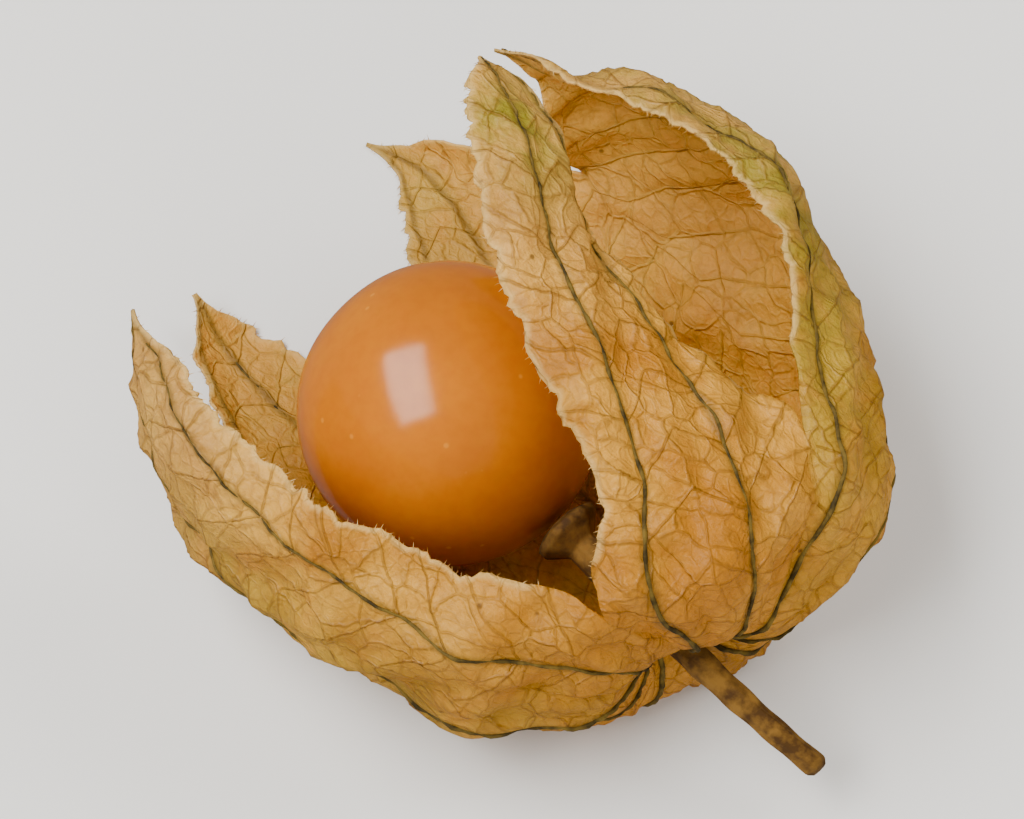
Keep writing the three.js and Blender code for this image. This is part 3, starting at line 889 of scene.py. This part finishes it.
fringe = make_object("husk_fringe", fringe_mesh)
grow(fringe, torn_fringe, {**FIBRE, "Fibre": torn_fibre("torn_fibre", "#E6C784", "#BE8E3E")})
keep_inside_solid_box(fringe)
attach(fringe, "root")
print("fringe:", len(fringe.data.polygons), "faces")

# %% [markdown]
# ## The berry
# The berry is a ball of juicy flesh in a tight, waxy skin. It is very nearly round, with
# faint broad unevenness and a small dry scar at the blossom end. A plain sphere would look
# too even, and noise would dent it. The skin is made as a fine turned form whose radius is
# varied a little by formula, which keeps its outline soft.

# %% Berry form
BERRY_RADIUS = 9.0
MERIDIANS = 144
PARALLELS = 96
around = np.linspace(0, 2 * math.pi, MERIDIANS, endpoint=False)[None, :]
down = np.linspace(0, math.pi, PARALLELS + 1)[1:-1, None]
uneven = (0.035 * np.sin(3 * around + 2 * down) * np.sin(down) ** 2
          + 0.03 * np.sin(2 * around - 3 * down + 1) * np.sin(down) - 0.07)
scar = (0.35 * np.exp(-(((math.pi - down) / 0.09) ** 2))
        + 0.12 * np.exp(-(((math.pi - down) / 0.3) ** 2)))
radius = BERRY_RADIUS + uneven - scar
ball = np.stack([radius * np.sin(down) * np.cos(around), radius * np.sin(down) * np.sin(around),
                 -radius * np.cos(down) + 0 * around + BERRY_FROM_BASE], -1)
ends = np.array([[0, 0, BERRY_FROM_BASE - BERRY_RADIUS + 0.05],
                 [0, 0, BERRY_FROM_BASE + BERRY_RADIUS - 0.4]])
grid = np.arange(ball.shape[0] * MERIDIANS).reshape(ball.shape[0], MERIDIANS)
nxt = np.roll(grid, -1, axis=1)
quads = np.stack([grid[:-1], nxt[:-1], nxt[1:], grid[1:]], -1).reshape(-1, 4).tolist()
low, high = grid.size, grid.size + 1
quads += [[low, nxt[0, k], grid[0, k]] for k in range(MERIDIANS)]
quads += [[high, grid[-1, k], nxt[-1, k]] for k in range(MERIDIANS)]
berry_mesh = bpy.data.meshes.new("berry_skin")
berry_mesh.from_pydata(lay_down(np.concatenate([ball.reshape(-1, 3), ends])).tolist(), [], quads)
berry_mesh.shade_smooth()
berry = make_object("berry_skin", berry_mesh)
print("berry:", len(berry_mesh.polygons), "faces")

# %% [markdown]
# The skin is a thin waxy cuticle over translucent flesh. Light goes in, spreads a
# few millimetres and comes out warmer, so the shader scatters under the surface. A clear
# sharp highlight says that the cuticle is smooth. The index of refraction of plant wax is
# about 1.45. Faint pale dots are breathing pores, half a millimetre or less.

# %% Waxy berry skin
SKIN_PATCH = 7.7 * MM
SKIN_GRAIN = 0.7 * MM
PORES_APART = 1.9 * MM


def waxy_skin(name):
    material, tree, output = new_material(name)
    place = add(tree, "ShaderNodeTexCoord").outputs["Object"]
    centred = add(tree, "ShaderNodeMapping",
                  {"Vector": place, "Location": tuple(-c for c in berry_middle)})
    patches, grain = (
        add(tree, "ShaderNodeTexNoise", {"Vector": centred, "Scale": 1 / size, "Detail": 3.0})
        for size in (SKIN_PATCH, SKIN_GRAIN))
    pores = add(tree, "ShaderNodeTexVoronoi", {"Vector": centred, "Scale": 1 / PORES_APART})
    pores = pores.outputs["Distance"]
    tip = tuple(axis * BERRY_RADIUS * MM)
    scar = add(tree, "ShaderNodeVectorMath", {0: centred, 1: tip}, operation="DISTANCE")
    base = colour("#BA6A00")
    for value, start, end, low, high, over in (
            (patches, 0.35, 0.65, 0.0, 1.0, "#AE5E00"), (grain, 0.4, 0.7, 0.0, 0.2, "#9A4E00"),
            (pores, 0.05, 0.11, 0.35, 0.0, "#E09A30"), (scar, 0.7 * MM, 1.3 * MM, 0.9, 0.0, "#5A3410")):
        share = add(tree, "ShaderNodeMapRange", {0: value, 1: start, 2: end, 3: low, 4: high})
        base = add(tree, "ShaderNodeMix", {0: share, 6: base, 7: colour(over)}, data_type="RGBA")
    bump = add(tree, "ShaderNodeBump", {"Height": grain, "Distance": 0.02 * MM, "Strength": 0.25})
    rough = add(tree, "ShaderNodeMapRange", {0: grain, 1: 0.3, 2: 0.7, 3: 0.14, 4: 0.22})
    surface = add(tree, "ShaderNodeBsdfPrincipled",
                  {"Base Color": base, "Roughness": rough, "IOR": PLANT_IOR, "Normal": bump,
                   "Specular IOR Level": 0.42, "Subsurface Weight": 0.5,
                   "Subsurface Radius": (1.0, 0.5, 0.12), "Subsurface Scale": 3.0 * MM})
    tree.links.new(surface.outputs[0], output.inputs[0])
    return material


berry.data.materials.append(waxy_skin("waxy_berry_skin"))
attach(berry, "root")
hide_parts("berry")
print("berry material:", berry.data.materials[0].name)

# %% [markdown]
# ## The stalk
# The stalk dries to a thin grooved twig, with a knee where it enters the husk and a small
# disc, the receptacle, that carries the berry. A curve with a round section could make the
# twig alone. It is swept here as rings along the fruit's axis instead, so that one outline
# gives twig, knee and disc, and a formula the shallow grooves that run its whole length.

# %% Stalk and receptacle
STALK = [(-8, 0.0), (-8, 0.5), (-7.7, 0.76), (-4, 0.8), (0, 0.85), (3, 0.95), (5.4, 0.98), (5.9, 2.15),
         (6.5, 1.9), (7.6, 1.15), (10.8, 1.05), (11.85, 2.2), (12.3, 2.2), (12.65, 1.4), (12.7, 0.0)]
STALK_ROWS = 150
STALK_SIDES = 48
BEND_FROM = 3
BEND = (-0.02, 0.012)
profile = np.array(STALK)
span = np.concatenate([[0], np.cumsum(np.linalg.norm(np.diff(profile, axis=0), axis=1))])
where = np.linspace(0, span[-1], STALK_ROWS)
z = np.interp(where, span, profile[:, 0])[:, None]
r = np.interp(where, span, profile[:, 1])[:, None]
turn = np.linspace(0, 2 * math.pi, STALK_SIDES, endpoint=False)[None, :]
groove = 1 - 0.07 * np.abs(np.sin(3.5 * turn + 0.15 * z)) - 0.02 * np.sin(11 * turn + z)
knobs = 1 + 0.04 * np.sin(z * 2.3) * (z < 5)
reach = r * groove * knobs
back = np.maximum(0, BEND_FROM - z)
stalk = np.stack([reach * np.cos(turn) + BEND[0] * back**2, reach * np.sin(turn) + BEND[1] * back**2,
                  z + 0 * turn], -1)
grid = np.arange(STALK_ROWS * STALK_SIDES).reshape(STALK_ROWS, STALK_SIDES)
nxt = np.roll(grid, -1, axis=1)
quads = np.stack([grid[:-1], nxt[:-1], nxt[1:], grid[1:]], -1).reshape(-1, 4)
stalk_mesh = mesh_from("stalk", lay_down(stalk.reshape(-1, 3)), [], quads.tolist())
stalk_object = make_object("stalk", stalk_mesh)
merged = bmesh.new()
merged.from_mesh(stalk_mesh)
bmesh.ops.remove_doubles(merged, verts=merged.verts, dist=1e-7)
bmesh.ops.recalc_face_normals(merged, faces=merged.faces)
merged.to_mesh(stalk_mesh)
merged.free()
stalk_mesh.materials.append(dry_strand("dry_stalk", "#765420", "#40290C", 1.6))
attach(stalk_object, "root")
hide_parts("stem")
print("stalk:", len(stalk_mesh.polygons), "faces")

# %% [markdown]
# ## The floor, the light and the camera
# The fruit lies on a plain pale floor. One large soft box stands above it and a little to
# the left, which gives the berry its broad window of light. Two weaker ones fill from the
# front and from behind. Glossy surfaces mirror neither those two nor the pale floor, so the
# berry keeps a single highlight and a deep orange edge. The camera looks down at 60
# degrees, as the picture does, from far enough to flatten the perspective.

# %% Floor
HALF_FLOOR = 1.5
floor_mesh = bpy.data.meshes.new("floor")
corners = [(x * HALF_FLOOR, y * HALF_FLOOR, 0) for x, y in ((-1, -1), (1, -1), (1, 1), (-1, 1))]
floor_mesh.from_pydata(corners, [], [(0, 1, 2, 3)])
floor = make_object("floor", floor_mesh)
material, tree, output = new_material("pale_floor")
surface = add(tree, "ShaderNodeBsdfPrincipled", {"Base Color": colour("#DEDCD7"), "Roughness": 0.65})
tree.links.new(surface.outputs[0], output.inputs[0])
floor_mesh.materials.append(material)
floor.visible_glossy = False
print("floor, m:", 2 * HALF_FLOOR, "square")

# %% Soft studio light
world = bpy.data.worlds.new("soft_room")
bpy.context.scene.world = world
world.use_nodes = True
room = world.node_tree.nodes["Background"]
room.inputs["Color"].default_value = colour("#F4EFE6")
room.inputs["Strength"].default_value = 0.26


def soft_box(name, direction, distance, size, power, mirrored):
    light = bpy.data.lights.new(name, "AREA")
    light.shape = "RECTANGLE"
    light.size, light.size_y = size
    light.energy = power
    made = make_object(name, light)
    made.location = Vector(direction).normalized() * distance
    made.rotation_euler = Vector(direction).to_track_quat("Z", "Y").to_euler()
    made.visible_glossy = mirrored
    return made


soft_box("key_box", (-0.49, -0.066, 0.87), 0.7, (0.74, 0.38), 10.4, True)
soft_box("fill_box", (0.3, -0.9, 0.45), 1.0, (0.8, 0.8), 7.5, False)
soft_box("back_box", (0.8, 0.35, 0.75), 1.0, (0.6, 0.6), 7.0, False)
print("lights:", [light.name for light in bpy.data.lights])

# %% [markdown]
# The camera is centred on what it sees: the vertices' box in the picture's own directions,
# across and up, has its middle in the middle of the picture.

# %% Camera
ELEVATION = 60 * DEG
DISTANCE = 0.6
FRAME_WIDTH = 60 * MM
SENSOR = 36.0
toward = np.array([0, -math.cos(ELEVATION), math.sin(ELEVATION)])
picture_up = np.array([0, math.sin(ELEVATION), math.cos(ELEVATION)])
seen = np.concatenate([vertex_places(piece.data) for piece in (husk, berry, stalk_object)])
across, up = seen[:, 0], seen @ picture_up
depth = (seen @ toward).mean()
target = (np.array([1, 0, 0]) * (across.min() + across.max()) / 2
          + picture_up * (up.min() + up.max()) / 2 + toward * depth)
camera_data = bpy.data.cameras.new("camera")
camera_data.sensor_width = SENSOR
camera_data.lens = SENSOR * DISTANCE / FRAME_WIDTH
camera = make_object("camera", camera_data)
camera.location = Vector(target + toward * DISTANCE)
camera.rotation_euler = Vector(toward).to_track_quat("Z", "Y").to_euler()
bpy.context.scene.camera = camera
print("lens, mm:", camera_data.lens)

# %% Print the solid model's box
print("solid box, mm:", [[round(c / MM, 1) for c in corner] for corner in solid_box])
